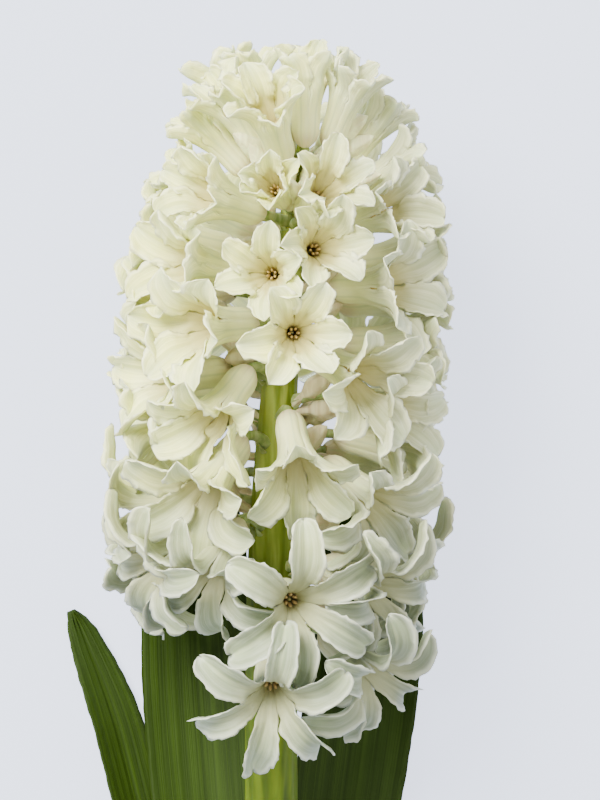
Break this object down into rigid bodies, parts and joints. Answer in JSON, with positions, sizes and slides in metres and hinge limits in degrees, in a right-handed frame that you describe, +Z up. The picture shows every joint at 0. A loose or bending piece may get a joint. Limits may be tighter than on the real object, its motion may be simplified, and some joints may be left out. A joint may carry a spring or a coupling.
{
  "type": "hyacinth flower",
  "caption": "Cut white hyacinth lying down: a dense head of six-lobed florets on a thick green stem, clasped at its foot by channelled leaves.",
  "frame": {"origin": "centre of the bounding box on the table that the flower lies on", "axes": "+Y along the flower from the cut foot to the tip of the head, +Z up from the table, +X to the right for a viewer above who sees the head at the top"},
  "size_m": [0.0874, 0.2338, 0.0753],
  "materials": {
    "petal": "satin and slightly translucent, cream to white, with warm throats",
    "stem": "juicy yellow-green, with fine lengthwise ridges and pale stripes",
    "leaf": "satin dark green, with fine parallel veins"
  },
  "bodies": {
    "root": {"floret_01": "petal", "floret_02": "petal", "floret_03": "petal", "floret_04": "petal", "floret_05": "petal", "floret_06": "petal", "floret_07": "petal", "floret_08": "petal", "floret_09": "petal", "floret_10": "petal", "floret_11": "petal", "floret_12": "petal", "floret_13": "petal", "floret_14": "petal", "floret_15": "petal", "floret_16": "petal", "floret_17": "petal", "floret_18": "petal", "floret_19": "petal", "floret_20": "petal", "floret_21": "petal", "floret_22": "petal", "floret_23": "petal", "floret_24": "petal", "floret_25": "petal", "floret_26": "petal", "floret_27": "petal", "floret_28": "petal", "floret_29": "petal", "floret_30": "petal", "floret_31": "petal", "floret_32": "petal", "floret_33": "petal", "floret_34": "petal", "floret_35": "petal", "floret_36": "petal", "floret_37": "petal", "floret_38": "petal", "floret_39": "petal", "floret_40": "petal", "floret_41": "petal", "floret_42": "petal", "floret_43": "petal", "floret_44": "petal", "floret_45": "petal", "floret_46": "petal", "floret_47": "petal", "floret_48": "petal", "floret_49": "petal", "floret_50": "petal", "floret_51": "petal", "floret_52": "petal", "floret_53": "petal", "floret_54": "petal", "floret_55": "petal", "leaf_left": "leaf", "leaf_right": "leaf", "leaf_small": "leaf", "stem": "stem"}
  },
  "joints": []
}
